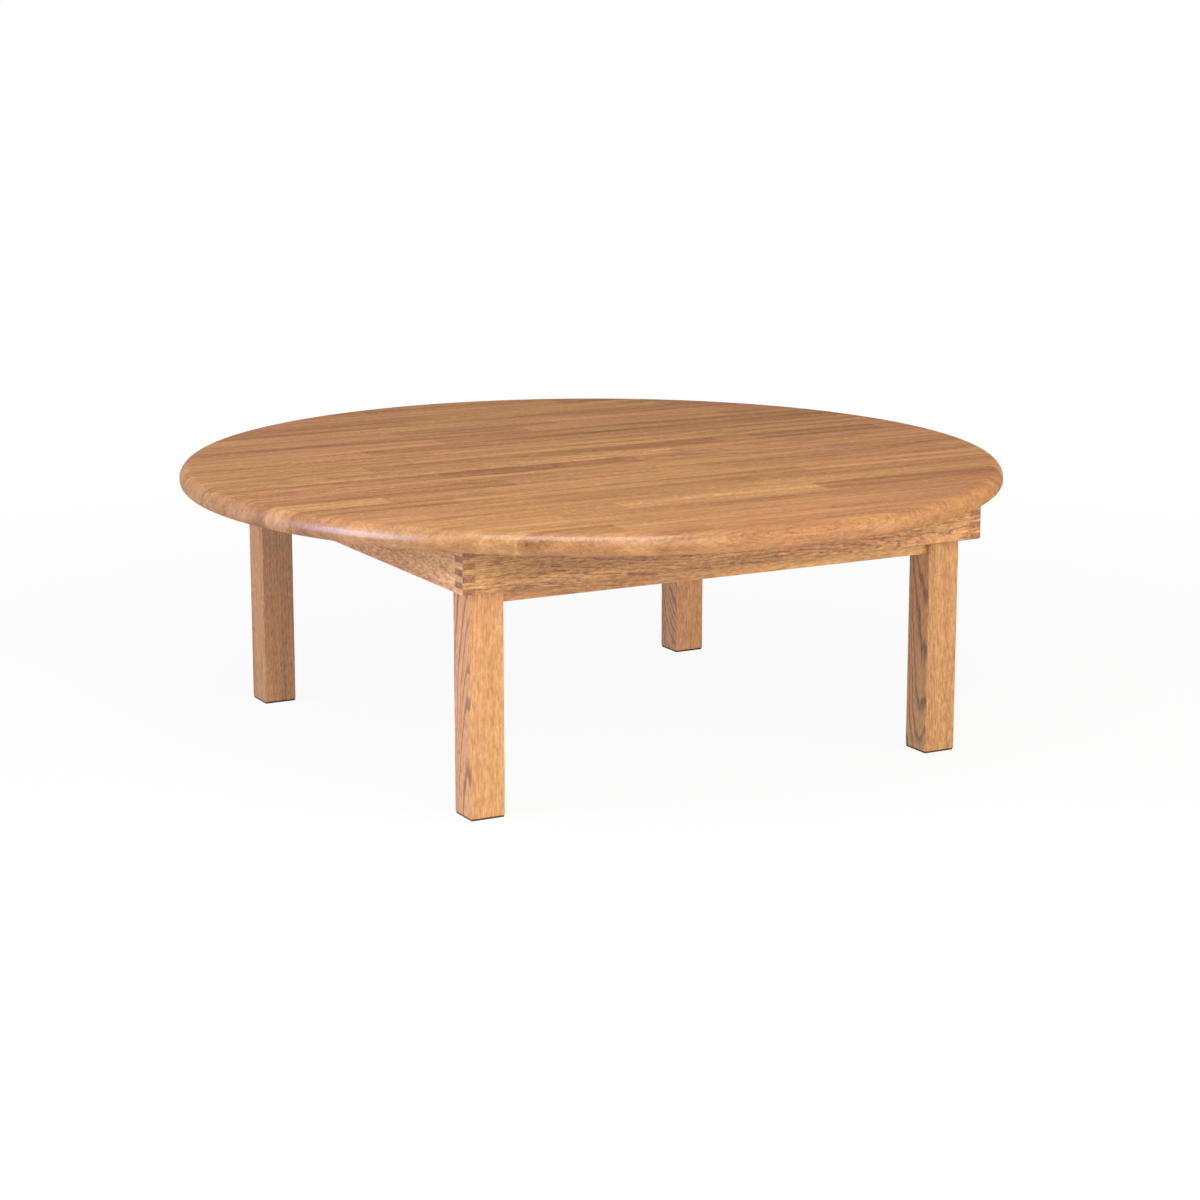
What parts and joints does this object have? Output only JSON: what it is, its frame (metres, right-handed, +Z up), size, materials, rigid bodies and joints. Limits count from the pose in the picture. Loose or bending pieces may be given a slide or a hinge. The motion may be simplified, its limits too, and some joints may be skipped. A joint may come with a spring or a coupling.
{
  "type": "folding low table",
  "caption": "Round low table in oiled oak on a finger-jointed frame; its legs fold in pairs, each joined by a cross-rail, flat under the top.",
  "frame": {"origin": "on the floor under the middle of the tabletop", "axes": "+Z up, +X to the right along the front rail and the staves, +Y to the back"},
  "size_m": [0.9999, 1, 0.335],
  "materials": {
    "oak": "oiled",
    "brass": "machined",
    "zinc_steel": "zinc plated",
    "nickel": "nickel plated",
    "nylon": "plain",
    "felt": "pressed felt"
  },
  "bodies": {
    "tabletop_and_frame": {"tabletop": "oak", "left_rail": "oak", "right_rail": "oak", "front_rail": "oak", "back_rail": "oak", "front_cleat_1": "oak", "front_cleat_2": "oak", "front_cleat_3": "oak", "back_cleat_1": "oak", "back_cleat_2": "oak", "back_cleat_3": "oak", "cleat_screws": "zinc_steel", "left_latch_block": "oak", "right_latch_block": "oak", "block_screws": "zinc_steel", "button_screws": "zinc_steel", "pivot_bolts": "zinc_steel", "threaded_inserts": "brass", "spacer_washers": "nylon", "magnet_screws": "zinc_steel", "front_left_catch_magnet": "nickel", "front_right_catch_magnet": "nickel", "back_left_catch_magnet": "nickel", "back_right_catch_magnet": "nickel"},
    "front_leg_pair": {"front_cross_rail": "oak", "front_strike_screws": "zinc_steel", "front_left_leg": "oak", "front_left_pivot_bush": "brass", "front_left_strike_disc": "zinc_steel", "front_left_foot_pad": "felt", "front_right_leg": "oak", "front_right_pivot_bush": "brass", "front_right_strike_disc": "zinc_steel", "front_right_foot_pad": "felt"},
    "back_leg_pair": {"back_cross_rail": "oak", "back_strike_screws": "zinc_steel", "back_left_leg": "oak", "back_left_pivot_bush": "brass", "back_left_strike_disc": "zinc_steel", "back_left_foot_pad": "felt", "back_right_leg": "oak", "back_right_pivot_bush": "brass", "back_right_strike_disc": "zinc_steel", "back_right_foot_pad": "felt"},
    "left_turn_button": {"left_turn_button": "oak"},
    "right_turn_button": {"right_turn_button": "oak"}
  },
  "joints": [
    {"name": "front_legs_fold", "type": "hinge", "parent": "tabletop_and_frame", "child": "front_leg_pair", "pos_m": [0, -0.3, 0.2875], "axis": [1, 0, 0], "range_deg": [0, 90]},
    {"name": "back_legs_fold", "type": "hinge", "parent": "tabletop_and_frame", "child": "back_leg_pair", "pos_m": [0, 0.3, 0.2875], "axis": [-1, 0, 0], "range_deg": [0, 90]},
    {"name": "left_button_turn", "type": "hinge", "parent": "tabletop_and_frame", "child": "left_turn_button", "pos_m": [-0.287, 0, 0.2632], "axis": [0, 0, 1], "range_deg": [0, 90]},
    {"name": "right_button_turn", "type": "hinge", "parent": "tabletop_and_frame", "child": "right_turn_button", "pos_m": [0.287, 0, 0.2632], "axis": [0, 0, 1], "range_deg": [0, 90]}
  ]
}
